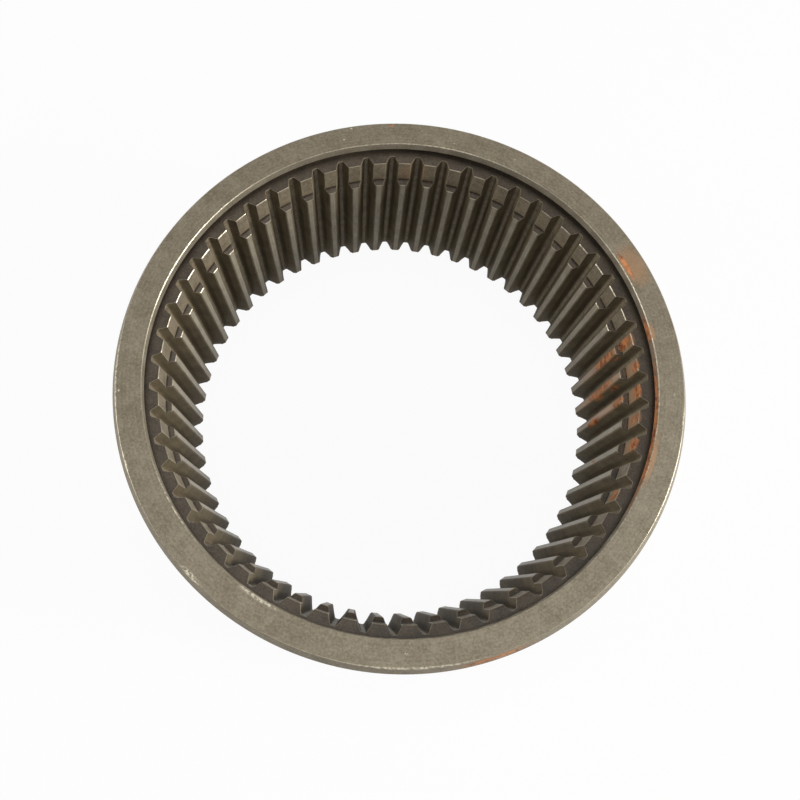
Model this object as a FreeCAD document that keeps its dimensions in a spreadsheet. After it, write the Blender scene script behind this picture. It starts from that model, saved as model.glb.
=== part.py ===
# Internal ring gear of a planetary hub reduction: one piece of steel, turned and then
# shaped with its teeth. Millimetres, +Z along the gear's axis, origin in the middle of
# the lower end face. The end that takes the snap ring is the upper one.
import FreeCAD, Part
import Sketcher
import math
import os
from enum import IntEnum

# Driving sizes. Heights and lengths are along the axis. Walls and depths are across it,
# and each is measured from the circle before it: outside, tooth roots, collar, groove.
sizes = {
    # Outside of the ring
    "outside_diameter": 258,
    "ring_height": 95,
    "lead_width": 2.6,
    "lead_height": 4.5,
    "base_chamfer": 1.5,
    # Tooth spaces. The rim's wall is what is left behind their roots. Tooth and space are
    # equally wide on the reference circle: 220 across, so the module is 4.
    "rim_wall": 15.1,
    "dedendum": 3.9,
    "tooth_count": 55,
    "pressure_angle": 25,
    "root_fillet": 0.8,
    "cutter_overrun": 0.5,
    # Full teeth, with their tips eased at 45 degrees by the cutter
    "tooth_depth": 6.6,
    "tip_ease": 0.8,
    "bore_chamfer": 2,
    "edge_break": 0.3,
    # Shortened teeth, with the relief at their foot and the stop where full teeth begin
    "short_tooth_depth": 4.1,
    "short_tooth_length": 14,
    "relief_height": 1.3,
    "relief_depth": 0.5,
    "relief_width": 0.5,
    "stop_drop": 1,
    # Collar, which the tooth cutter clears, snap ring groove and the seat below it
    "collar_clearance": 1.1,
    "lip_thickness": 4.2,
    "groove_depth": 4,
    "groove_width": 4.2,
}

# Points of a sketch element, in the order in which a sketch numbers them
Point = IntEnum("Point", "start end centre")
sketch_origin = (-1, Point.start)
across_axis = -1


class Size:
    """A length, with the expression that reads it from the sheet."""

    def __init__(self, number, text):
        self.number = number
        self.text = text

    def __add__(self, other):
        return Size(self.number + other.number, f"({self.text} + {other.text})")

    def __sub__(self, other):
        return Size(self.number - other.number, f"({self.text} - {other.text})")

    def __truediv__(self, divisor):
        return Size(self.number / divisor, f"({self.text} / {divisor})")


def size(name):
    return Size(sizes[name], f"Sizes.{name}")


def fill_sheet(doc):
    sheet = doc.addObject("Spreadsheet::Sheet", "Sizes")
    for row, (name, number) in enumerate(sizes.items(), start=1):
        sheet.set(f"A{row}", name)
        sheet.set(f"B{row}", str(number))
        sheet.setAlias(f"B{row}", name)
    doc.recompute()


def origin_feature(body, role):
    return next(item for item in body.Origin.OriginFeatures if item.Role == role)


def new_sketch(body, name, plane):
    sketch = body.newObject("Sketcher::SketchObject", name)
    sketch.AttachmentSupport = (origin_feature(body, plane), [""])
    sketch.MapMode = "FlatFace"
    return sketch


def join(sketch, first, second):
    sketch.addConstraint(Sketcher.Constraint("Coincident", *first, *second))


def dimension(sketch, kind, *place, length):
    """A dimension of the sketch, bound to the sheet."""
    index = sketch.addConstraint(Sketcher.Constraint(kind, *place, length.number))
    sketch.setExpression(f"Constraints[{index}]", length.text)


def pin_point(sketch, point, across, up, side=1):
    """Hold a point at its distances from the sketch's origin, above it or below it."""
    dimension(sketch, "DistanceX", *sketch_origin, *point, length=across)
    if up is None:
        sketch.addConstraint(Sketcher.Constraint("PointOnObject", *point, across_axis))
    elif side > 0:
        dimension(sketch, "DistanceY", *sketch_origin, *point, length=up)
    else:
        dimension(sketch, "DistanceY", *point, *sketch_origin, length=up)


def root_radius():
    return size("outside_diameter") / 2 - size("rim_wall")


def tip_radius():
    return root_radius() - size("tooth_depth")


def blank_corners():
    """Corners of the blank's half section: radius, and height above the lower face."""
    top = size("ring_height")
    edge = size("edge_break")
    outside = size("outside_diameter") / 2
    collar = root_radius() + size("collar_clearance")
    groove = collar + size("groove_depth")
    short_tip = root_radius() - size("short_tooth_depth")
    tip = tip_radius()
    lip = top - size("lip_thickness")
    seat = lip - size("groove_width")
    stop = seat - size("short_tooth_length")
    full_tooth = stop - size("stop_drop")
    relief = stop + size("relief_height")
    relief_wall = short_tip + size("relief_depth")
    return [
        (tip + size("bore_chamfer"), None),
        (outside - size("base_chamfer"), None),
        (outside, size("base_chamfer")),
        (outside, top - size("lead_height")),
        (outside - size("lead_width"), top),
        (collar + edge, top),
        (collar, top - edge),
        (collar, lip),
        (groove, lip),
        (groove, seat),
        (short_tip + edge, seat),
        (short_tip, seat - edge),
        (short_tip, relief),
        (relief_wall, relief - size("relief_depth")),
        (relief_wall, stop),
        (short_tip - size("relief_width"), stop),
        (tip + edge, full_tooth),
        (tip, full_tooth - edge),
        (tip, size("bore_chamfer")),
    ]


def turn_blank(body):
    """The ring as it leaves the lathe, before it has any teeth."""
    sketch = new_sketch(body, "blank_section", "XZ_Plane")
    corners = blank_corners()
    places = [FreeCAD.Vector(across.number, up.number if up else 0, 0) for across, up in corners]
    for here, after in zip(places, places[1:] + places[:1]):
        sketch.addGeometry(Part.LineSegment(here, after), False)
    for index, (across, up) in enumerate(corners):
        before = (index - 1) % len(corners)
        join(sketch, (before, Point.end), (index, Point.start))
        pin_point(sketch, (index, Point.start), across, up)
    blank = body.newObject("PartDesign::Revolution", "turned_blank")
    blank.Profile = sketch
    blank.ReferenceAxis = (sketch, ["V_Axis"])
    blank.Angle = 360
    return blank


def half_space_angle(radius):
    """Half the angle, in degrees, between the involute flanks of a tooth space."""
    reference = root_radius() - size("dedendum")
    pressure = math.radians(sizes["pressure_angle"])
    rolled = math.acos(reference.number * math.cos(pressure) / radius.number)
    spread = math.tan(pressure) - pressure - math.tan(rolled) + rolled
    number = 90 / sizes["tooth_count"] + math.degrees(spread)
    rolled_text = f"acos({reference.text} * cos(Sizes.pressure_angle) / {radius.text})"
    text = (
        "(90 / Sizes.tooth_count"
        " + tan(Sizes.pressure_angle) * 180 / pi - Sizes.pressure_angle"
        f" - tan({rolled_text}) * 180 / pi + {rolled_text} / (1 deg))"
    )
    return Size(number, text)


def flank_point(radius):
    """Where the upper flank is at a radius, along and off the middle of the space."""
    angle = half_space_angle(radius)
    turn = math.radians(angle.number)
    along = Size(radius.number * math.cos(turn), f"{radius.text} * cos({angle.text})")
    off = Size(radius.number * math.sin(turn), f"{radius.text} * sin({angle.text})")
    return along, off


def nearest_end(sketch, element, place):
    """The end of an arc that lies at a place."""
    reach = [(sketch.getPoint(element, end) - place).Length for end in (Point.start, Point.end)]
    return (element, Point.end if reach[1] < reach[0] else Point.start)


def draw_tooth_space(body):
    """One tooth space, centred on +X: eased mouth, two involute flanks and a filleted root."""
    sketch = new_sketch(body, "tooth_space", "XY_Plane")
    fillet = size("root_fillet")
    root = root_radius()
    brow_radius = tip_radius() + size("tip_ease")
    flare = size("tip_ease") + size("cutter_overrun")
    brow = flank_point(brow_radius)
    mouth = (brow[0] - flare, brow[1] + flare)
    waist = flank_point((brow_radius + root) / 2)
    foot = flank_point(root)

    # The sketch is drawn close to its true shape, and its constraints then hold it there.
    fall = math.atan2(waist[1].number - foot[1].number, foot[0].number - waist[0].number)
    ball_off = foot[1].number + fillet.number * (math.tan(fall) - 1 / math.cos(fall))
    ball_reach = root.number - fillet.number
    ball_along = math.sqrt(ball_reach ** 2 - ball_off ** 2)
    root_end = (ball_along * root.number / ball_reach, ball_off * root.number / ball_reach)
    flank_end = (ball_along + fillet.number * math.sin(fall), ball_off + fillet.number * math.cos(fall))
    lean = (math.pi / 2 - fall) / 2
    ball_middle = (ball_along + fillet.number * math.cos(lean), ball_off + fillet.number * math.sin(lean))

    mouth_ends = []
    root_ends = []
    for side in (1, -1):
        mouth_place = FreeCAD.Vector(mouth[0].number, side * mouth[1].number, 0)
        brow_place = FreeCAD.Vector(brow[0].number, side * brow[1].number, 0)
        waist_place = FreeCAD.Vector(waist[0].number, side * waist[1].number, 0)
        flank_place = FreeCAD.Vector(flank_end[0], side * flank_end[1], 0)
        fillet_place = FreeCAD.Vector(ball_middle[0], side * ball_middle[1], 0)
        root_place = FreeCAD.Vector(root_end[0], side * root_end[1], 0)
        ease = sketch.addGeometry(Part.LineSegment(mouth_place, brow_place), False)
        flank = sketch.addGeometry(Part.Arc(brow_place, waist_place, flank_place), False)
        corner = sketch.addGeometry(Part.Arc(flank_place, fillet_place, root_place), False)
        mouth_ends.append((ease, Point.start))
        root_ends.append((nearest_end(sketch, corner, root_place), root_place))
        pin_point(sketch, mouth_ends[-1], *mouth, side)
        pin_point(sketch, (ease, Point.end), *brow, side)
        join(sketch, (ease, Point.end), nearest_end(sketch, flank, brow_place))
        for guide_place in (waist, foot):
            place = FreeCAD.Vector(guide_place[0].number, side * guide_place[1].number, 0)
            guide = sketch.addGeometry(Part.Point(place), True)
            pin_point(sketch, (guide, Point.start), *guide_place, side)
            sketch.addConstraint(Sketcher.Constraint("PointOnObject", guide, Point.start, flank))
        flank_joint = nearest_end(sketch, flank, flank_place)
        corner_joint = nearest_end(sketch, corner, flank_place)
        sketch.addConstraint(Sketcher.Constraint("Tangent", *flank_joint, *corner_joint))
        dimension(sketch, "Radius", corner, length=fillet)

    root_arc = sketch.addGeometry(
        Part.Arc(root_ends[1][1], FreeCAD.Vector(root.number, 0, 0), root_ends[0][1]), False
    )
    join(sketch, (root_arc, Point.centre), sketch_origin)
    dimension(sketch, "Radius", root_arc, length=root)
    for corner_end, place in root_ends:
        root_joint = nearest_end(sketch, root_arc, place)
        sketch.addConstraint(Sketcher.Constraint("Tangent", *root_joint, *corner_end))

    ends = [sketch.getPoint(*end) for end in mouth_ends]
    mouth_line = sketch.addGeometry(Part.LineSegment(*ends), False)
    join(sketch, (mouth_line, Point.start), mouth_ends[0])
    join(sketch, (mouth_line, Point.end), mouth_ends[1])
    return sketch


def shape_teeth(body, blank):
    """Cut the tooth spaces right through, from the lower face to the snap ring groove."""
    doc = body.Document
    space = body.newObject("PartDesign::Pocket", "first_space")
    space.Profile = draw_tooth_space(body)
    space.Type = "ThroughAll"
    space.Reversed = True
    doc.recompute()
    if space.Shape.Volume >= blank.Shape.Volume:
        raise RuntimeError("the tooth space cuts nothing")
    teeth = body.newObject("PartDesign::PolarPattern", "tooth_spaces")
    teeth.Originals = [space]
    teeth.Axis = (origin_feature(body, "Z_Axis"), [""])
    teeth.Angle = 360
    teeth.setExpression("Occurrences", "Sizes.tooth_count")
    body.Tip = teeth
    doc.recompute()


def build_ring_gear(doc):
    body = doc.addObject("PartDesign::Body", "RingGear")
    body.Label = "ring_gear"
    body.Placement = FreeCAD.Placement()
    blank = turn_blank(body)
    doc.recompute()
    shape_teeth(body, blank)
    return body


def check(doc, bodies):
    """Stop if any object failed, or a piece isn't one valid solid."""
    for item in doc.Objects:
        if "Invalid" in item.State or "Error" in item.State:
            raise RuntimeError(f"{item.Label} failed")
    for body in bodies:
        shape = body.Shape
        if shape.isNull() or not shape.isValid() or len(shape.Solids) != 1:
            raise RuntimeError(f"{body.Label} isn't one valid solid")
        print(f"{body.Label}: {shape.Volume:.0f} mm3, {len(shape.Faces)} faces")


def write_pieces(bodies):
    os.makedirs("parts", exist_ok=True)
    for body in bodies:
        body.Shape.exportStep(f"parts/{body.Label}.step")


doc = FreeCAD.newDocument("ring_gear")
fill_sheet(doc)
pieces = [build_ring_gear(doc)]
check(doc, pieces)
write_pieces(pieces)
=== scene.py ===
# Looks of the internal ring gear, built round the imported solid. Metres, in the solid's own frame.
import math
from collections import namedtuple
from enum import IntEnum

import bmesh
import bpy
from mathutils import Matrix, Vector


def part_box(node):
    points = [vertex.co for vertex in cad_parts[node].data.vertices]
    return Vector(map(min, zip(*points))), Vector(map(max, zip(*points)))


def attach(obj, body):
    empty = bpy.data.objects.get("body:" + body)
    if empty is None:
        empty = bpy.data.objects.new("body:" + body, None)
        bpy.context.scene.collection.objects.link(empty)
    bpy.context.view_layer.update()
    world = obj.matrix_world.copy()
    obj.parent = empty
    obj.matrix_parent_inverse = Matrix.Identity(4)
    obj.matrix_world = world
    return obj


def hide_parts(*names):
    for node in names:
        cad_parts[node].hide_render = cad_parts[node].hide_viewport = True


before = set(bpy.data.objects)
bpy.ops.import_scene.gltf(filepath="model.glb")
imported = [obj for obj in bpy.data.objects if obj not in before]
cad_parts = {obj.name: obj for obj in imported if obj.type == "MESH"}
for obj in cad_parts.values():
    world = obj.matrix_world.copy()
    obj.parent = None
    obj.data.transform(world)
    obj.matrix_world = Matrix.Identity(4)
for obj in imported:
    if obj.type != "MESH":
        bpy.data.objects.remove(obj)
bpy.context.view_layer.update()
mm = 0.001
gearNode = "ring_gear"
lowCorner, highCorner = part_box(gearNode)
print("frame loaded")


# Form of the gear

gear = {  # millimetres; walls and depths go inwards from the outside, heights down from the top
    "outside": highCorner.x / mm,
    "height": (highCorner.z - lowCorner.z) / mm,
    "leadWidth": 2.6,
    "leadHeight": 4.5,
    "baseChamfer": 1.5,
    "rimWall": 15.1,  # behind the tooth roots
    "dedendum": 3.9,  # from the circle where tooth and space are equally wide to the roots
    "toothCount": 55,
    "pressureAngle": 25,  # degrees
    "rootFillet": 0.8,
    "toothDepth": 6.6,
    "tipRound": 1,  # radius to which the full teeth's tips are rounded
    "boreChamfer": 2,
    "boreRound": 0.8,  # how far the chamfer's corners are worn round
    "edgeBreak": 0.3,
    "shortToothDepth": 4.1,
    "shortToothLength": 14,
    "reliefHeight": 1.3,
    "reliefDepth": 0.5,
    "reliefWidth": 0.5,
    "stopDrop": 1,
    "collarClearance": 1.1,
    "lipThickness": 4.2,
    "grooveDepth": 4,
    "grooveWidth": 4.2,
    "rimRound": 0.25,  # how far the outer rim's upper edge is rubbed round
    "toothEdge": 0.15,  # how far the teeth's edges are rounded by deburring
    "endEdge": 0.4,  # the same at their lower ends
    "edgeSegments": 2,  # facets across each of these rounded edges
    "sharpAngle": 50,  # degrees; an outer edge that turns by more is rounded
    "smoothAngle": 30,  # degrees; faces that meet at less are shaded as one
    "roundSteps": 3,  # facets of a rounded corner of the section
    "tipSteps": 4,  # facets of a round tip, on each side
    "flankStep": 1.2,  # no facet of a flank is longer
    "rimSteps": 8,  # facets of the rim to each tooth
    "landSteps": 4,  # facets across a tooth's top
    "filletSteps": 4,  # facets of a root fillet
    "sameSpot": 0.001,  # points nearer than this are one
    "seamReach": 0.01,  # and so are points of neighbouring sectors nearer than this
}

rootRadius = gear["outside"] - gear["rimWall"]
baseRadius = (rootRadius - gear["dedendum"]) * math.cos(math.radians(gear["pressureAngle"]))
tipRadius = rootRadius - gear["toothDepth"]
tipTurn = math.pi / 2 - math.acos(baseRadius / tipRadius)  # from the tip's flat to the flank
shortTipRadius = rootRadius - gear["shortToothDepth"]
collarRadius = rootRadius + gear["collarClearance"]
grooveRadius = collarRadius + gear["grooveDepth"]
faceRadius = gear["outside"] - gear["leadWidth"]
lipHeight = gear["height"] - gear["lipThickness"]
seatHeight = lipHeight - gear["grooveWidth"]
stopHeight = seatHeight - gear["shortToothLength"]
landHeight = stopHeight - gear["stopDrop"]
reliefTop = stopHeight + gear["reliefHeight"]
toothStep = 2 * math.pi / gear["toothCount"]

Finish = IntEnum("Finish", "turned land flank scale rubbed fitted", start=0)  # the gear's materials
# A corner of the half section: the finish of the face that starts there, how far the corner is
# rounded along its two faces, and the finish of the rounding.
Corner = namedtuple("Corner", "radius height finish reach roundFinish", defaults=(0, None))


def blankSection():  # the turned blank, from the bore's lower end round the outside and back
    edge = gear["edgeBreak"]
    reliefWall = shortTipRadius + gear["reliefDepth"]
    # the rubbed finish on the rim's rounding and on the chamfers at the collar and the teeth's upper ends is
    # light partly as painted highlight
    return [
        Corner(tipRadius + gear["boreChamfer"], 0, Finish.turned, gear["boreRound"], Finish.land),
        Corner(gear["outside"] - gear["baseChamfer"], 0, Finish.turned),
        Corner(gear["outside"], gear["baseChamfer"], Finish.turned),
        Corner(gear["outside"], gear["height"] - gear["leadHeight"], Finish.turned),
        Corner(faceRadius, gear["height"], Finish.turned, gear["rimRound"], Finish.rubbed),
        Corner(collarRadius + edge, gear["height"], Finish.rubbed),
        Corner(collarRadius, gear["height"] - edge, Finish.turned),
        Corner(collarRadius, lipHeight, Finish.scale),
        Corner(grooveRadius, lipHeight, Finish.scale),
        Corner(grooveRadius, seatHeight, Finish.scale),
        Corner(shortTipRadius + edge, seatHeight, Finish.rubbed),
        Corner(shortTipRadius, seatHeight - edge, Finish.fitted),
        Corner(shortTipRadius, reliefTop, Finish.scale),
        Corner(reliefWall, reliefTop - gear["reliefDepth"], Finish.scale),
        Corner(reliefWall, stopHeight, Finish.scale),
        Corner(shortTipRadius - gear["reliefWidth"], stopHeight, Finish.scale),
        Corner(tipRadius + edge, landHeight, Finish.rubbed),
        Corner(tipRadius, landHeight - edge, Finish.land),
        Corner(tipRadius, gear["boreChamfer"], Finish.land, gear["boreRound"], Finish.land),
    ]


def roundedSection():  # the section with its rounded corners drawn as short curves
    corners = blankSection()
    drawn = []
    for before, corner, after in zip(corners[-1:] + corners[:-1], corners, corners[1:] + corners[:1]):
        if not corner.reach:
            drawn.append(corner)
            continue
        middle = Vector(corner[:2])
        start = middle + (Vector(before[:2]) - middle).normalized() * corner.reach
        end = middle + (Vector(after[:2]) - middle).normalized() * corner.reach
        for step in range(gear["roundSteps"] + 1):
            share = step / gear["roundSteps"]
            place = start.lerp(middle, share).lerp(middle.lerp(end, share), share)
            drawn.append(Corner(place.x, place.y, corner.finish if share == 1 else corner.roundFinish))
    return drawn


def involute(angle):
    return math.tan(angle) - angle


def tipTrim(radius):  # what the round tip takes off a flank
    bend = gear["tipRound"]
    rise = max(radius - tipRadius, 0)
    if rise >= bend * (1 - math.cos(tipTurn)):
        return 0
    return bend * math.tan(tipTurn / 2) + rise / math.tan(tipTurn) - math.sqrt(rise * (2 * bend - rise))


def toothHalf(radius):  # half the angle that a tooth takes up at a radius
    pressure = math.radians(gear["pressureAngle"])
    halfSpace = toothStep / 4 + involute(pressure) - involute(math.acos(baseRadius / radius))
    return toothStep / 2 - halfSpace - tipTrim(radius) / radius


def flankPlace(radius):  # on the flank at the tooth's positive side, across the axis
    return Vector((radius * math.cos(toothHalf(radius)), radius * math.sin(toothHalf(radius))))


def rootCurve():  # from the flank through the fillet to the middle of the space: radius and angle
    fillet = gear["rootFillet"]
    nudge = gear["sameSpot"]

    def ball(radius):  # middle of the fillet's circle, if it leaves the flank at this radius
        along = flankPlace(radius + nudge) - flankPlace(radius - nudge)
        return flankPlace(radius) + Vector((-along.y, along.x)).normalized() * fillet

    low, high = rootRadius - 2 * fillet, rootRadius
    while high - low > nudge:
        middle = (low + high) / 2
        low, high = (middle, high) if ball(middle).length < rootRadius - fillet else (low, middle)
    centre = ball(low)
    spoke = flankPlace(low) - centre
    turn = -spoke.angle_signed(centre)
    points = []
    for step in range(gear["filletSteps"] + 1):
        share = turn * step / gear["filletSteps"]
        place = centre + Vector((
            spoke.x * math.cos(share) - spoke.y * math.sin(share),
            spoke.x * math.sin(share) + spoke.y * math.cos(share),
        ))
        points.append((place.length, math.atan2(place.y, place.x)))
    footAngle = points[-1][1]
    points[-1] = (rootRadius, footAngle)
    points.append((rootRadius, (footAngle + toothStep / 2) / 2))
    points.append((rootRadius, toothStep / 2))
    return points


def alongEdge(first, second, radius):  # height of a section's edge at a radius
    share = (radius - first.radius) / (second.radius - first.radius)
    return first.height + share * (second.height - first.height)


def faceEnds(section):  # each face of the section as its two corners
    return list(zip(section, section[1:] + section[:1]))


class SectorBuilder:  # one tooth with half a space on each side, as a sheet of faces

    def __init__(self, name):
        self.mesh = bmesh.new()
        self.name = name
        self.placed = {}

    def point(self, radius, angle, height):
        key = tuple(round(value / gear["sameSpot"]) for value in (radius, angle * radius, height))
        if key not in self.placed:
            across = Vector((math.cos(angle), math.sin(angle), 0)) * radius
            self.placed[key] = self.mesh.verts.new((across + Vector((0, 0, height))) * mm)
        return self.placed[key]

    def face(self, places, finish):
        corners = []
        for place in places:
            corner = self.point(*place)
            if corner not in corners:
                corners.append(corner)
        if len(corners) > 2:
            self.mesh.faces.new(corners).material_index = finish

    def strip(self, first, second, halfAngle, steps):  # a face of the section, swept over an angle
        for step in range(steps):
            left, right = 2 * step / steps - 1, 2 * (step + 1) / steps - 1
            self.face([
                (first.radius, left * halfAngle(first.radius), first.height),
                (first.radius, right * halfAngle(first.radius), first.height),
                (second.radius, right * halfAngle(second.radius), second.height),
                (second.radius, left * halfAngle(second.radius), second.height),
            ], first.finish)


def flankStations(section, filletStart):  # radii at which a flank is divided
    decimals = 3  # of a millimetre, so that equal radii count once
    radii = {round(corner.radius, decimals) for corner in section if corner.radius < filletStart}
    for step in range(1, gear["tipSteps"] + 1):
        rise = gear["tipRound"] * (1 - math.cos(tipTurn * step / gear["tipSteps"]))
        radii.add(round(tipRadius + rise, decimals))
    radii = sorted(radii | {filletStart})
    stations = []
    for low, high in zip(radii, radii[1:]):
        parts = math.ceil((high - low) / gear["flankStep"])
        stations += [low + (high - low) * part / parts for part in range(parts)]
    return stations + [filletStart]


def refineSection(section, stations):  # the section with a corner at every station that it crosses
    refined = []
    for first, second in faceEnds(section):
        refined.append(first)
        low, high = sorted((first.radius, second.radius))
        if high > rootRadius:
            continue
        inside = [radius for radius in stations if low + gear["sameSpot"] < radius < high - gear["sameSpot"]]
        if second.radius < first.radius:
            inside.reverse()
        refined += [Corner(radius, alongEdge(first, second, radius), first.finish) for radius in inside]
    return refined


def addFlanks(sector, section, stations):
    for inner, outer in zip(stations, stations[1:]):
        middle = (inner + outer) / 2
        crossed = [
            (first, second) for first, second in faceEnds(section)
            if min(first.radius, second.radius) < middle < max(first.radius, second.radius)
        ]
        crossed.sort(key=lambda ends: alongEdge(*ends, middle))
        for below, above in zip(crossed[::2], crossed[1::2]):
            outline = []
            for radius, rising in ((outer, True), (inner, False)):
                low, high = alongEdge(*below, radius), alongEdge(*above, radius)
                here = [corner for corner in section if abs(corner.radius - radius) < gear["sameSpot"]]
                heights = {low, high} | {corner.height for corner in here if low < corner.height < high}
                outline += [(radius, height) for height in sorted(heights, reverse=not rising)]
            for side in (1, -1):
                sector.face([(radius, side * toothHalf(radius), height) for radius, height in outline],
                            Finish.flank)


def addRoots(sector, curve):
    for step, ((firstRadius, firstAngle), (secondRadius, secondAngle)) in enumerate(zip(curve, curve[1:])):
        finish = Finish.flank if step < gear["filletSteps"] else Finish.fitted
        for side in (1, -1):
            sector.face([
                (firstRadius, side * firstAngle, 0),
                (secondRadius, side * secondAngle, 0),
                (secondRadius, side * secondAngle, seatHeight),
                (firstRadius, side * firstAngle, seatHeight),
            ], finish)


def addEndFace(sector, first, second, stations, curve):  # flat, round the tooth: lower end or seat
    inner, outer = sorted((first.radius, second.radius))
    height = first.height
    outline = []
    for step in range(gear["landSteps"] + 1):
        outline.append((inner, (2 * step / gear["landSteps"] - 1) * toothHalf(inner), height))
    side = [(radius, toothHalf(radius)) for radius in stations if radius > inner + gear["sameSpot"]]
    side = side[:-1] + curve
    outline += [(radius, angle, height) for radius, angle in side]
    for step in range(gear["rimSteps"] + 1):
        outline.append((outer, (0.5 - step / gear["rimSteps"]) * toothStep, height))
    outline += [(radius, -angle, height) for radius, angle in reversed(side)]
    sector.face(outline, first.finish)


def halfStep(radius):
    return toothStep / 2


def markRoundedEdges(mesh):  # outer edges that turn sharply get a share of the Bevel modifier's width
    weights = mesh.edges.layers.float.new("bevel_weight_edge")
    endHeight = (gear["boreChamfer"] + gear["sameSpot"]) * mm
    for edge in mesh.edges:
        if len(edge.link_faces) == 2 and edge.calc_face_angle_signed() > math.radians(gear["sharpAngle"]):
            atEnd = max(corner.co.z for corner in edge.verts) < endHeight
            edge[weights] = 1 if atEnd else gear["toothEdge"] / gear["endEdge"]


def buildToothSector(finishes):
    plain = roundedSection()
    curve = rootCurve()
    stations = flankStations(plain, curve[0][0])
    section = refineSection(plain, stations)
    sector = SectorBuilder("toothSector")
    addFlanks(sector, section, stations)
    addRoots(sector, curve)
    for first, second in faceEnds(section):
        if max(first.radius, second.radius) < rootRadius:
            sector.strip(first, second, toothHalf, gear["landSteps"])
        elif min(first.radius, second.radius) > rootRadius:
            sector.strip(first, second, halfStep, gear["rimSteps"])
        else:
            addEndFace(sector, first, second, stations, curve)
    mesh = sector.mesh
    bmesh.ops.recalc_face_normals(mesh, faces=mesh.faces)
    topFace = max(mesh.faces, key=lambda face: face.calc_center_median().z)
    if topFace.normal.z < 0:
        bmesh.ops.reverse_faces(mesh, faces=mesh.faces)
    markRoundedEdges(mesh)
    data = bpy.data.meshes.new(sector.name)
    mesh.to_mesh(data)
    mesh.free()
    for finish in finishes:
        data.materials.append(finish)
    piece = bpy.data.objects.new(sector.name, data)
    bpy.context.scene.collection.objects.link(piece)
    return piece


# Geometry Nodes: the sector is turned round the axis, once for each tooth

def addNode(tree, kind, sockets=None, **settings):  # a node with its settings, values and links
    node = tree.nodes.new(kind)
    for name, value in settings.items():
        setattr(node, name, value)
    for name, value in (sockets or {}).items():
        if isinstance(value, bpy.types.NodeSocket):
            tree.links.new(value, node.inputs[name])
        else:
            node.inputs[name].default_value = value
    return node


def ringTree():
    tree = bpy.data.node_groups.new("teethRoundAxis", "GeometryNodeTree")
    tree.interface.new_socket("Geometry", in_out="INPUT", socket_type="NodeSocketGeometry")
    tree.interface.new_socket("Tooth Count", in_out="INPUT", socket_type="NodeSocketInt")
    tree.interface.new_socket("Seam Distance", in_out="INPUT", socket_type="NodeSocketFloat")
    for finish in Finish:
        tree.interface.new_socket(finish.name, in_out="INPUT", socket_type="NodeSocketMaterial")
    tree.interface.new_socket("Geometry", in_out="OUTPUT", socket_type="NodeSocketGeometry")
    given = addNode(tree, "NodeGroupInput").outputs
    places = addNode(tree, "GeometryNodePoints", {"Count": given["Tooth Count"]})
    number = addNode(tree, "GeometryNodeInputIndex").outputs[0]
    half = addNode(tree, "ShaderNodeMath", {0: number, 1: 0.5}, operation="ADD")  # a space lies on +X
    step = addNode(tree, "ShaderNodeMath", {0: 2 * math.pi, 1: given["Tooth Count"]}, operation="DIVIDE")
    turn = addNode(tree, "ShaderNodeMath", {0: half.outputs[0], 1: step.outputs[0]}, operation="MULTIPLY")
    rotation = addNode(
        tree, "FunctionNodeAxisAngleToRotation", {"Axis": (0, 0, 1), "Angle": turn.outputs[0]}
    )
    copies = addNode(tree, "GeometryNodeInstanceOnPoints", {
        "Points": places.outputs[0],
        "Instance": given["Geometry"],
        "Rotation": rotation.outputs[0],
    })
    whole = addNode(tree, "GeometryNodeRealizeInstances", {"Geometry": copies.outputs[0]})
    joined = addNode(tree, "GeometryNodeMergeByDistance", {
        "Geometry": whole.outputs[0],
        "Distance": given["Seam Distance"],
    }).outputs[0]
    index = addNode(tree, "GeometryNodeInputMaterialIndex").outputs[0]
    for finish in Finish:
        chosen = addNode(
            tree, "FunctionNodeCompare", {2: index, 3: finish.value}, data_type="INT", operation="EQUAL"
        )
        joined = addNode(tree, "GeometryNodeSetMaterial", {
            "Geometry": joined,
            "Selection": chosen.outputs[0],
            "Material": given[finish.name],
        }).outputs[0]
    addNode(tree, "NodeGroupOutput", {"Geometry": joined})
    return tree


def setInput(modifier, tree, name, value):
    socket = next(item for item in tree.interface.items_tree if item.name == name and item.in_out == "INPUT")
    modifier[socket.identifier] = value


def buildRing(finishes):
    sector = buildToothSector(finishes)
    rounding = sector.modifiers.new("roundedEdges", "BEVEL")
    rounding.limit_method = "WEIGHT"
    rounding.width = gear["endEdge"] * mm
    rounding.segments = gear["edgeSegments"]
    rounding.material = Finish.land
    rounding.use_clamp_overlap = False
    turning = sector.modifiers.new("teethRoundAxis", "NODES")
    tree = ringTree()
    turning.node_group = tree
    setInput(turning, tree, "Tooth Count", gear["toothCount"])
    setInput(turning, tree, "Seam Distance", gear["seamReach"] * mm)
    for finish in Finish:
        setInput(turning, tree, finish.name, finishes[finish])
    graph = bpy.context.evaluated_depsgraph_get()
    data = bpy.data.meshes.new_from_object(sector.evaluated_get(graph))
    bpy.data.objects.remove(sector)
    solid = bmesh.new()
    solid.from_mesh(data)
    bmesh.ops.recalc_face_normals(solid, faces=solid.faces)
    openEdges = sum(1 for edge in solid.edges if len(edge.link_faces) != 2)
    solid.to_mesh(data)
    solid.free()
    data.shade_smooth()
    data.set_sharp_from_angle(angle=math.radians(gear["smoothAngle"]))
    ring = bpy.data.objects.new("ringGear", data)
    bpy.context.scene.collection.objects.link(ring)
    evenShade = ring.modifiers.new("evenShade", "WEIGHTED_NORMAL")
    evenShade.keep_sharp = True
    print("ring built:", len(data.polygons), "faces,", openEdges, "open edges")
    return ring


# Finishes

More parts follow.
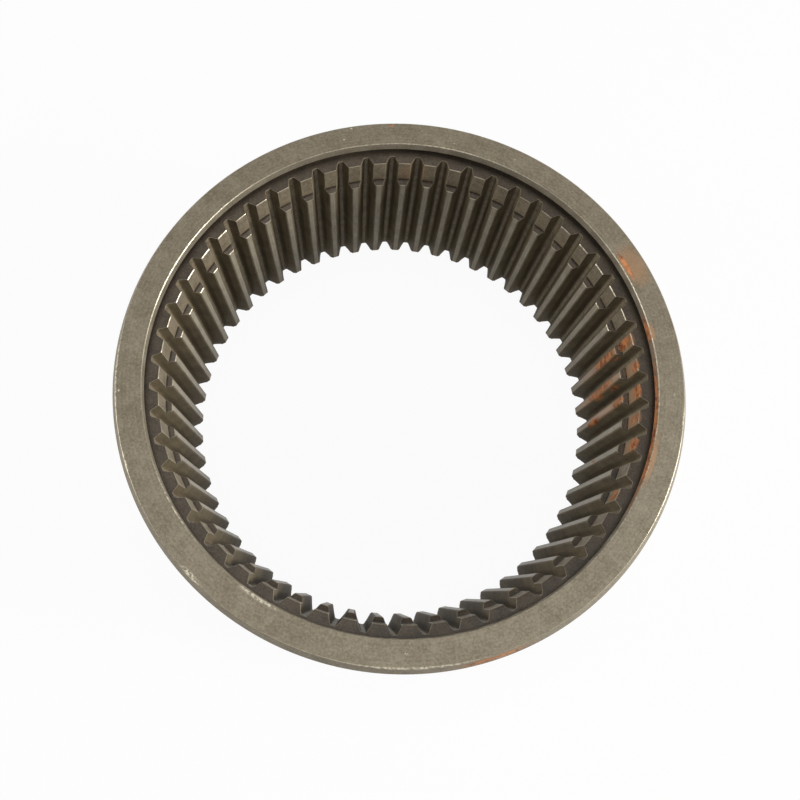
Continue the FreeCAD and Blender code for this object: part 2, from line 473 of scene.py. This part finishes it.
# Places for rust, dirt and wear, each as its middle and its reach (degrees round the axis,
# millimetres from the axis, millimetres up) and how strong it is.
rustPatches = [  # orange crusts on the teeth at the right, in the collar and on the rim
    ((23.3, 109.8, 78), (1.6, 1.5, 8), 1.0),
    ((16, 109.8, 84), (1.5, 1.5, 4), 0.9),
    ((9.8, 109.8, 84), (1.9, 1.5, 5), 1.0),
    ((3.3, 109.8, 82), (1.5, 1.5, 6), 0.7),
    ((-3.3, 109.8, 84), (1.9, 1.5, 4.5), 1.0),
    ((-16.4, 109.8, 82), (1.7, 1.5, 5), 0.8),
    ((22.9, 107.3, 58), (1.3, 1.2, 17), 0.9),
    ((16.4, 107.3, 44), (1.2, 1.2, 22), 0.8),
    ((15.6, 109, 38), (1, 2.5, 8), 1.0),
    ((15.4, 110, 58), (0.9, 2.5, 7), 0.9),
    ((21.8, 110, 66), (0.8, 2, 6), 0.7),
    ((9.8, 107.3, 66), (1.3, 1.2, 8), 0.8),
    ((9.2, 108, 30), (0.9, 2, 11), 1.0),
    ((-3.3, 107.3, 38), (0.5, 1, 2.5), 0.9),
    ((-1, 115, 92.5), (20, 0.4, 3), 1.0),
    ((23.5, 115, 92.5), (4, 0.4, 3), 1.0),
    ((39.3, 117.3, 95), (4.2, 1.3, 2), 1.0),
    ((105, 125.2, 95), (0.6, 0.8, 2), 0.8),
    ((-60, 127.9, 92.5), (7, 1, 2.5), 0.75),
]

hazePatches = [  # thin brown stains round them
    ((22.9, 109.8, 82), (1.9, 1.5, 9), 0.8),
    ((16.4, 109.8, 80), (1.9, 1.5, 9), 1.0),
    ((9.8, 109.8, 79), (1.9, 1.5, 9), 0.9),
    ((3.3, 109.8, 80), (1.9, 1.5, 9), 1.0),
    ((-3.3, 109.8, 80), (1.9, 1.5, 9), 0.7),
    ((22.9, 107.3, 45), (1.4, 1.2, 28), 0.6),
    ((16.4, 107.3, 40), (1.4, 1.2, 34), 1.0),
    ((9.8, 107.3, 46), (1.4, 1.2, 28), 1.0),
    ((-7.5, 115.8, 95), (6, 1.5, 2), 1.0),
    ((22.5, 115.8, 95), (2, 1.4, 2), 1.0),
    ((38.5, 120.5, 95), (5, 6, 2), 0.8),
    ((99, 109.8, 80), (4, 1.5, 7), 0.4),
    ((-60, 127.7, 93), (8, 1.5, 3), 0.4),
]

paintedShadePatches = [  # painted shade: darkening in the relief grooves at the feet of the short teeth and near the roots of all teeth
    ((-10, 109, 72.8), (42, 1.5, 1.6), 1.0),
    ((-145, 109, 72.8), (60, 1.5, 1.6), 0.6),
    ((0, 112.2, 42), (400, 1.3, 34), 0.8),
]

wearAndHighlightPatches = [  # bare spots on edges and faces, and painted highlights along the rim's rounded edge, the collar's chamfer and the short teeth's upper edges
    ((-165, 126.5, 95), (11, 0.6, 1), 1.0),
    ((-147, 126.5, 95), (3, 0.7, 1), 0.9),
    ((-121, 126.1, 95), (2.4, 1.3, 1), 1.0),
    ((-75, 126.5, 95), (12, 0.6, 1), 0.9),
    ((-10, 126.5, 95), (10, 0.6, 1), 0.8),
    ((3, 126.5, 95), (2.4, 0.7, 1), 0.9),
    ((10, 115.15, 95), (60, 0.25, 0.4), 0.8),
    ((95, 115.15, 95), (40, 0.25, 0.4), 0.6),
    ((161, 115.15, 95), (24, 0.3, 0.4), 1.0),
    ((-135, 115.2, 95), (10, 0.35, 0.4), 1.0),
    ((-108, 115.8, 95), (5, 0.8, 1), 0.7),
    ((45.6, 109.95, 86.45), (20, 0.3, 0.3), 0.8),
    ((160, 109.95, 86.45), (30, 0.3, 0.3), 0.8),
    ((8.1, 122, 95), (0.3, 0.4, 1), 1.0),
    ((75.6, 121, 95), (0.2, 0.5, 1), 1.0),
    ((90.1, 118.5, 95), (0.3, 0.3, 1), 1.0),
    ((98.1, 123, 95), (0.2, 0.4, 1), 1.0),
    ((116.1, 120, 95), (0.3, 0.3, 1), 1.0),
    ((-76.4, 120.5, 95), (0.3, 0.4, 1), 1.0),
    ((114, 125.4, 95), (0.3, 0.4, 1), 0.9),
    ((-161.8, 124.8, 95), (0.3, 0.4, 1), 0.9),
]

# Colours are sRGB. mottle and cloud are sizes in millimetres, and marks says how many tool marks
# there are to a degree, to a millimetre out from the axis and to a millimetre up. Real grain and
# tool marks are too fine to show in the render, so they are drawn this coarse. mix holds the shares
# of the three, spread says how far from the middle tone the light and the dark colour are reached,
# and depth is the relief in millimetres. Where oil hides the metal, metallic is 0 and the IOR is
# low, matched to the photo's dull surfaces, and everywhere else the IOR is the default.
steelLooks = {
    # carbon steel, faced and bored on a lathe: satin, with a fine mottle and faint rings
    Finish.turned: {
        "name": "turnedSteel", "light": "#9b917d", "dark": "#6d634f", "metallic": 0.3, "roughness": 0.55,
        "ior": 1.5, "mottle": 0.9, "cloud": 7, "marks": (0, 2.5, 2.5), "mix": (0.5, 0.3, 0.2),
        "spread": 0.17, "depth": 0.02,
    },
    # full teeth's tops, turned and rubbed by use under a film of oil: no bare metal's shine, only
    # a soft sheen and fine upright streaks
    Finish.land: {
        "name": "oiledSteel", "light": "#9f957f", "dark": "#736953", "metallic": 0.0, "roughness": 0.4,
        "ior": 1.35, "mottle": 0.8, "cloud": 6, "marks": (9, 0.5, 0.1), "mix": (0.3, 0.3, 0.4),
        "spread": 0.14, "depth": 0.02,
    },
    # short teeth's tops and root floors, touched by no other gear: smooth, under a brown oil stain
    Finish.fitted: {
        "name": "stainedSteel", "light": "#8d8068", "dark": "#5f5440", "metallic": 0.0, "roughness": 0.55,
        "ior": 1.3, "mottle": 0.8, "cloud": 4, "marks": (2, 0.5, 1), "mix": (0.4, 0.4, 0.2),
        "spread": 0.14, "depth": 0.02,
    },
    # flanks and root fillets, cut along the axis and dulled by dried oil, with a fine grain; their dark
    # colour is painted shade for the narrow spaces between the teeth
    Finish.flank: {
        "name": "shadeDarkenedSteel", "light": "#7c6f56", "dark": "#4e4430", "metallic": 0.0, "roughness": 0.65,
        "ior": 1.3, "mottle": 0.6, "cloud": 8, "marks": (0, 2, 0.1), "mix": (0.4, 0.3, 0.3),
        "spread": 0.15, "depth": 0.02,
    },
    # seat, groove and stop, never polished: dark brown scale left by heat treatment
    Finish.scale: {
        "name": "scaledSteel", "light": "#5d5243", "dark": "#3a3228", "metallic": 0.0, "roughness": 0.6,
        "ior": 1.5, "mottle": 0.7, "cloud": 6, "marks": (0, 2, 2), "mix": (0.5, 0.4, 0.1),
        "spread": 0.15, "depth": 0.03,
    },
    # edges rubbed by handling: bare bright steel, broken by nicks; the light colour also paints the
    # highlights that the rounded rim and the chamfers catch
    Finish.rubbed: {
        "name": "rubbedHighlitSteel", "light": "#cabfa7", "dark": "#8d826c", "metallic": 0.5, "roughness": 0.35,
        "ior": 1.5, "mottle": 0.5, "cloud": 5, "marks": (6, 1, 1), "mix": (0.4, 0.3, 0.3),
        "spread": 0.12, "depth": 0.02,
    },
}

patternLook = {  # the same for all finishes
    "middleTone": 0.5,  # of a pattern, which runs from 0 to 1
    "rich": 3.0,  # octaves of detail in mottle, clouds, blotches and nicks
    "plain": 2.0,  # and in tool marks and the rust's grain
    "patchFull": 0.6,  # share of its reach up to which a patch has its full strength
    "patchEnd": 1.25,  # and where it has faded out
}

rustLook = {  # iron oxide, grown in the open air: dull orange crusts on a thin brown haze
    "fresh": "#d28a55",
    "old": "#87492c",
    "haze": "#b08660",
    "hazeShare": 0.7,
    "roughness": 0.9,
    "grain": 0.7,  # millimetres
    "blotch": 3,
    "blotchTones": (0.4, 0.65),  # from fresh to old
    "wander": (0.6, 0.4, 3),  # how far the outline strays: degrees, millimetres, millimetres
    "ragged": 2.0,  # how strongly the grain eats into a patch
    "cover": (1.3, 2.0),  # patch and grain together, where rust begins and where it is closed
}

paintedShadeLook = {  # painted shade for the recesses: a dark colour that lets some of the steel through
    "shadeColour": "#2a231b",
    "share": 0.6,
}

wearAndHighlightLook = {  # steel bared by knocks and handling, and painted highlights on edges: the lightest spots, with broken outlines
    "bareAndHighlight": "#f0e6cc",
    "spark": (1.5, 0.8, 0.8),  # nicks to a degree and a millimetre
    "sparkTones": (0.4, 0.6),  # from covered to bare
}


def linear(hexColour):  # sRGB hex to the linear colour that a shader takes
    parts = [int(hexColour[place:place + 2], 16) / 255 for place in (1, 3, 5)]
    return tuple(c / 12.92 if c <= 0.04045 else ((c + 0.055) / 1.055) ** 2.4 for c in parts) + (1,)


def newFinish(name):
    finish = bpy.data.materials.new(name)
    finish.use_nodes = True
    finish.node_tree.nodes.clear()
    return finish, finish.node_tree


def polarPlace(tree, place):  # degrees round the axis, millimetres from it, millimetres up
    parts = addNode(tree, "ShaderNodeSeparateXYZ", {0: place}).outputs
    flat = addNode(tree, "ShaderNodeVectorMath", {0: place, 1: (1, 1, 0)}, operation="MULTIPLY")
    radius = addNode(tree, "ShaderNodeVectorMath", {0: flat.outputs[0]}, operation="LENGTH")
    angle = addNode(tree, "ShaderNodeMath", {0: parts["Y"], 1: parts["X"]}, operation="ARCTAN2")
    degrees = addNode(tree, "ShaderNodeMath", {0: angle.outputs[0]}, operation="DEGREES")
    return addNode(tree, "ShaderNodeCombineXYZ", {
        "X": degrees.outputs[0],
        "Y": radius.outputs["Value"],
        "Z": parts["Z"],
    }).outputs[0]


def patchMask(tree, polar, patches):  # strength of the patches at a place, fading at their outlines
    mask = 0.0
    for middle, reach, strength in patches:
        offset = addNode(tree, "ShaderNodeVectorMath", {
            0: polar,
            1: tuple(1 / size for size in reach),
            2: tuple(-place / size for place, size in zip(middle, reach)),
        }, operation="MULTIPLY_ADD")
        away = addNode(tree, "ShaderNodeVectorMath", {0: offset.outputs[0]}, operation="LENGTH")
        cover = addNode(tree, "ShaderNodeMapRange", {
            "Value": away.outputs["Value"],
            "From Min": patternLook["patchFull"],
            "From Max": patternLook["patchEnd"],
            "To Min": strength,
            "To Max": 0.0,
        })
        mask = addNode(tree, "ShaderNodeMath", {0: cover.outputs[0], 1: mask}, operation="MAXIMUM").outputs[0]
    return mask


def rustShares(tree, place, polar):  # how much crust and haze there is, the crust's grain and its age
    stray = rustLook["wander"]
    blotch = addNode(tree, "ShaderNodeTexNoise", {
        "Vector": place,
        "Scale": 1 / rustLook["blotch"],
        "Detail": patternLook["rich"],
    })
    warped = addNode(tree, "ShaderNodeVectorMath", {
        0: blotch.outputs["Color"],
        1: tuple(2 * size for size in stray),
        2: tuple(-size for size in stray),
    }, operation="MULTIPLY_ADD")
    moved = addNode(tree, "ShaderNodeVectorMath", {0: polar, 1: warped.outputs[0]}, operation="ADD")
    grain = addNode(tree, "ShaderNodeTexNoise", {
        "Vector": place,
        "Scale": 1 / rustLook["grain"],
        "Detail": patternLook["plain"],
    })
    ragged = addNode(tree, "ShaderNodeMath", {
        0: grain.outputs[0],
        1: rustLook["ragged"],
        2: patchMask(tree, moved.outputs[0], rustPatches),
    }, operation="MULTIPLY_ADD")
    beginning, closed = rustLook["cover"]
    crust = addNode(tree, "ShaderNodeMapRange", {
        "Value": ragged.outputs[0],
        "From Min": beginning,
        "From Max": closed,
    })
    haze = addNode(tree, "ShaderNodeMath", {
        0: patchMask(tree, moved.outputs[0], hazePatches),
        1: rustLook["hazeShare"],
    }, operation="MULTIPLY")
    youngest, oldest = rustLook["blotchTones"]
    age = addNode(tree, "ShaderNodeMapRange", {
        "Value": blotch.outputs[0],
        "From Min": youngest,
        "From Max": oldest,
    })
    return crust.outputs[0], haze.outputs[0], grain.outputs[0], age.outputs[0]


def steelTone(tree, look, place, polar):  # mottle, clouds and tool marks, added up by their shares
    along = addNode(tree, "ShaderNodeVectorMath", {0: polar, 1: look["marks"]}, operation="MULTIPLY")
    patterns = [  # where each is looked up, its scale and its detail
        (place, 1 / look["mottle"], patternLook["rich"]),
        (place, 1 / look["cloud"], patternLook["rich"]),
        (along.outputs[0], 1.0, patternLook["plain"]),
    ]
    tone = 0.0
    for (spot, scale, detail), share in zip(patterns, look["mix"]):
        noise = addNode(tree, "ShaderNodeTexNoise", {"Vector": spot, "Scale": scale, "Detail": detail})
        tone = addNode(tree, "ShaderNodeMath", {
            0: noise.outputs[0],
            1: share,
            2: tone,
        }, operation="MULTIPLY_ADD").outputs[0]
    return tone


def steelColour(tree, look, tone):  # between the finish's dark and light colour
    contrast = addNode(tree, "ShaderNodeMapRange", {
        "Value": tone,
        "From Min": patternLook["middleTone"] - look["spread"],
        "From Max": patternLook["middleTone"] + look["spread"],
    })
    return addNode(tree, "ShaderNodeMix", {
        0: contrast.outputs[0],
        6: linear(look["dark"]),
        7: linear(look["light"]),
    }, data_type="RGBA").outputs[2]


def bareAndHighlightShare(tree, polar):  # where wear has bared the steel and where highlights are painted on edges, broken by nicks
    nicks = addNode(tree, "ShaderNodeVectorMath", {0: polar, 1: wearAndHighlightLook["spark"]}, operation="MULTIPLY")
    spark = addNode(tree, "ShaderNodeTexNoise", {
        "Vector": nicks.outputs[0],
        "Scale": 1.0,
        "Detail": patternLook["rich"],
    })
    covered, bared = wearAndHighlightLook["sparkTones"]
    broken = addNode(tree, "ShaderNodeMapRange", {
        "Value": spark.outputs[0],
        "From Min": covered,
        "From Max": bared,
    })
    return addNode(tree, "ShaderNodeMath", {
        0: broken.outputs[0],
        1: patchMask(tree, polar, wearAndHighlightPatches),
    }, operation="MULTIPLY").outputs[0]


def steelFinish(kind):
    look = steelLooks[kind]
    finish, tree = newFinish(look["name"])
    spot = addNode(tree, "ShaderNodeTexCoord").outputs["Object"]
    place = addNode(tree, "ShaderNodeVectorMath", {0: spot, "Scale": 1 / mm}, operation="SCALE").outputs[0]
    polar = polarPlace(tree, place)
    tone = steelTone(tree, look, place, polar)
    rust, haze, grain, age = rustShares(tree, place, polar)
    # painted shade, darkening the relief grooves and the teeth's roots
    paintedShade = addNode(tree, "ShaderNodeMath", {
        0: patchMask(tree, polar, paintedShadePatches),
        1: paintedShadeLook["share"],
    }, operation="MULTIPLY")
    crustColour = addNode(tree, "ShaderNodeMix", {
        0: age,
        6: linear(rustLook["fresh"]),
        7: linear(rustLook["old"]),
    }, data_type="RGBA")
    layers = [  # on the steel, from the lowest: how much there is and its colour
        (haze, linear(rustLook["haze"])),
        (paintedShade.outputs[0], linear(paintedShadeLook["shadeColour"])),
        (rust, crustColour.outputs[2]),
        # bared steel, and painted highlights along the rim, the collar's chamfer and the short teeth's edges
        (bareAndHighlightShare(tree, polar), linear(wearAndHighlightLook["bareAndHighlight"])),
    ]
    colour = steelColour(tree, look, tone)
    for share, layer in layers:
        colour = addNode(
            tree, "ShaderNodeMix", {0: share, 6: colour, 7: layer}, data_type="RGBA"
        ).outputs[2]
    metallic = addNode(tree, "ShaderNodeMapRange", {"Value": rust, "To Min": look["metallic"], "To Max": 0.0})
    roughness = addNode(tree, "ShaderNodeMapRange", {
        "Value": rust,
        "To Min": look["roughness"],
        "To Max": rustLook["roughness"],
    })
    crust = addNode(tree, "ShaderNodeMath", {0: rust, 1: grain, 2: tone}, operation="MULTIPLY_ADD")
    relief = addNode(tree, "ShaderNodeBump", {"Height": crust.outputs[0], "Distance": look["depth"] * mm})
    shader = addNode(tree, "ShaderNodeBsdfPrincipled", {
        "Base Color": colour,
        "Metallic": metallic.outputs[0],
        "Roughness": roughness.outputs[0],
        "IOR": look["ior"],
        "Normal": relief.outputs[0],
    })
    addNode(tree, "ShaderNodeOutputMaterial", {"Surface": shader.outputs[0]})
    return finish


ringGear = buildRing([steelFinish(kind) for kind in Finish])
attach(ringGear, "root")
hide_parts(gearNode)
print("ring gear in place")


# Studio

studio = {
    "floorSize": 6,  # metres
    "floorColour": "#e6e6e6",
    "white": (1, 1, 1, 1),
    "paleShare": 0.94,  # how much of the floor's look is plain white, the rest takes light and shadow
    "worldStrength": 0.06,
    "lamps": {  # degrees round from the right, degrees up, metres off, metres across, watts
        "rightSoftbox": (4, 16, 1.4, 0.5, 20),
        "leftSoftbox": (196, 16, 1.4, 0.5, 8),
        "frontSoftbox": (270, 38, 1.4, 0.5, 1.2),
        "overhead": (90, 85, 1.4, 0.9, 9.8),
    },
    "aim": (0, 0, 0.08),  # metres
}


def floorFinish():  # a painted board: nearly plain white to the eye and in reflections, faint shadows
    finish, tree = newFinish("paintedBoard")
    lit = addNode(tree, "ShaderNodeBsdfDiffuse", {"Color": linear(studio["floorColour"])})
    white = addNode(tree, "ShaderNodeEmission", {"Color": studio["white"], "Strength": 1.0})
    ray = addNode(tree, "ShaderNodeLightPath").outputs
    seen = ray["Is Camera Ray"]
    for kind in ("Is Glossy Ray", "Is Transmission Ray"):
        seen = addNode(tree, "ShaderNodeMath", {0: seen, 1: ray[kind]}, operation="MAXIMUM").outputs[0]
    share = addNode(tree, "ShaderNodeMath", {0: seen, 1: studio["paleShare"]}, operation="MULTIPLY")
    both = addNode(
        tree, "ShaderNodeMixShader", {0: share.outputs[0], 1: lit.outputs[0], 2: white.outputs[0]}
    )
    addNode(tree, "ShaderNodeOutputMaterial", {"Surface": both.outputs[0]})
    return finish


def buildFloor():
    half = studio["floorSize"] / 2
    corners = [(-half, -half, 0), (half, -half, 0), (half, half, 0), (-half, half, 0)]
    data = bpy.data.meshes.new("floor")
    data.from_pydata(corners, [], [(0, 1, 2, 3)])
    data.materials.append(floorFinish())
    floor = bpy.data.objects.new("floor", data)
    bpy.context.scene.collection.objects.link(floor)


def buildLamps():
    aim = Vector(studio["aim"])
    for name, (azimuth, elevation, distance, size, power) in studio["lamps"].items():
        lamp = bpy.data.lights.new(name, "AREA")
        lamp.shape = "DISK"
        lamp.size = size
        lamp.energy = power
        holder = bpy.data.objects.new(name, lamp)
        turn, tilt = math.radians(azimuth), math.radians(elevation)
        away = Vector((math.cos(turn) * math.cos(tilt), math.sin(turn) * math.cos(tilt), math.sin(tilt)))
        holder.location = aim + away * distance
        holder.rotation_euler = (-away).to_track_quat("-Z", "Y").to_euler()
        bpy.context.scene.collection.objects.link(holder)


def buildWorld():
    world = bpy.data.worlds.new("studioAir")
    world.use_nodes = True
    tree = world.node_tree
    tree.nodes.clear()
    sky = addNode(tree, "ShaderNodeBackground", {
        "Color": studio["white"],
        "Strength": studio["worldStrength"],
    })
    addNode(tree, "ShaderNodeOutputWorld", {"Surface": sky.outputs[0]})
    bpy.context.scene.world = world


cameraView = {  # fitted to the photo
    "place": (0.00197, -0.09972, 0.38955),  # metres
    "turn": (14.171, -1.100, 13.367),  # degrees
    "lens": 31.28,  # millimetres
    "shift": (0.0414, 0.0238),
    "nearest": 0.01,  # metres
}


def buildCamera():
    data = bpy.data.cameras.new("photoView")
    data.lens = cameraView["lens"]
    data.shift_x, data.shift_y = cameraView["shift"]
    data.clip_start = cameraView["nearest"]
    camera = bpy.data.objects.new("photoView", data)
    camera.location = cameraView["place"]
    camera.rotation_euler = [math.radians(angle) for angle in cameraView["turn"]]
    bpy.context.scene.collection.objects.link(camera)
    bpy.context.scene.camera = camera


buildFloor()
buildLamps()
buildWorld()
buildCamera()
bpy.context.scene.view_settings.view_transform = "Standard"
print("studio built")
